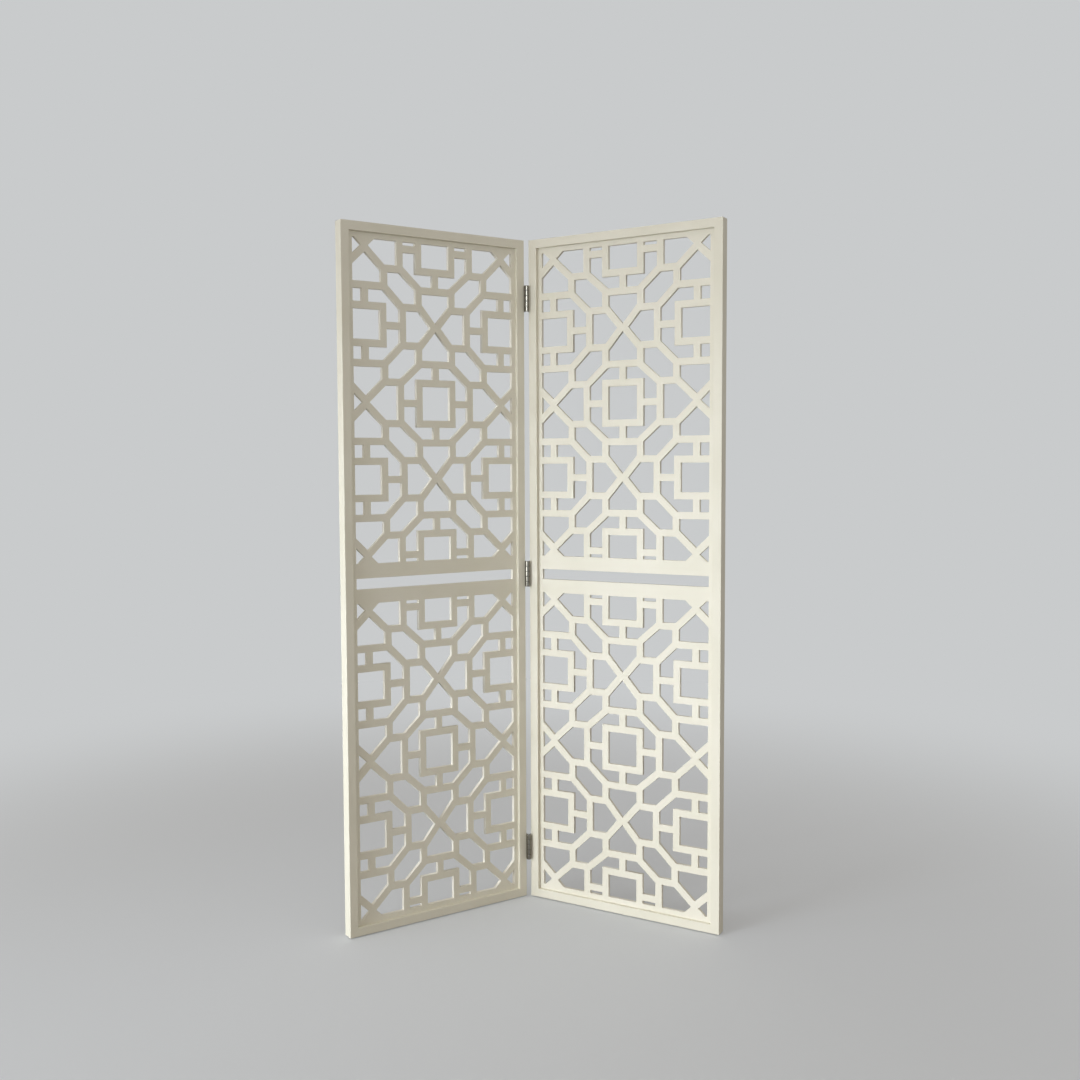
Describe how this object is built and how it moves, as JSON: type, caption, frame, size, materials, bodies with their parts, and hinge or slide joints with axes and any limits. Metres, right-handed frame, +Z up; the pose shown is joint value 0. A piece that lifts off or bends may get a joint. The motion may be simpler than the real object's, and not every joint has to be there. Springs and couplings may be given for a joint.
{
  "type": "folding screen",
  "caption": "Free-standing folding jali screen: hinged painted leaves, each a slim square-edged frame round a pierced board of squares, rings and crossings.",
  "frame": {"origin": "middle of the bounding box's footprint, level with the underside of the glides", "axes": "+Z up, +X to the right as seen from inside the V, +Y towards the hinges; the V of the leaves opens towards -Y"},
  "size_m": [0.967, 0.3142, 1.8025],
  "materials": {
    "painted_wood": "cream satin paint over wood and fibreboard",
    "hinge_steel": "nickel-plated",
    "nylon": "moulded nylon glide"
  },
  "bodies": {
    "left_leaf": {"left_hinge_stile": "painted_wood", "left_outer_stile": "painted_wood", "left_top_rail": "painted_wood", "left_bottom_rail": "painted_wood", "left_fret_board": "painted_wood", "left_glides": "nylon", "bottom_hinge_left_plate": "hinge_steel", "middle_hinge_left_plate": "hinge_steel", "top_hinge_left_plate": "hinge_steel", "left_hinge_screws": "hinge_steel", "bottom_hinge_pin": "hinge_steel", "middle_hinge_pin": "hinge_steel", "top_hinge_pin": "hinge_steel"},
    "right_leaf": {"right_hinge_stile": "painted_wood", "right_outer_stile": "painted_wood", "right_top_rail": "painted_wood", "right_bottom_rail": "painted_wood", "right_fret_board": "painted_wood", "right_glides": "nylon", "bottom_hinge_right_plate": "hinge_steel", "middle_hinge_right_plate": "hinge_steel", "top_hinge_right_plate": "hinge_steel", "right_hinge_screws": "hinge_steel"}
  },
  "joints": [
    {"name": "leaf_hinge", "type": "hinge", "parent": "left_leaf", "child": "right_leaf", "pos_m": [0, 0.1269, 0.90125], "axis": [0, 0, 1], "range_deg": [-115.84, 64.16]}
  ]
}
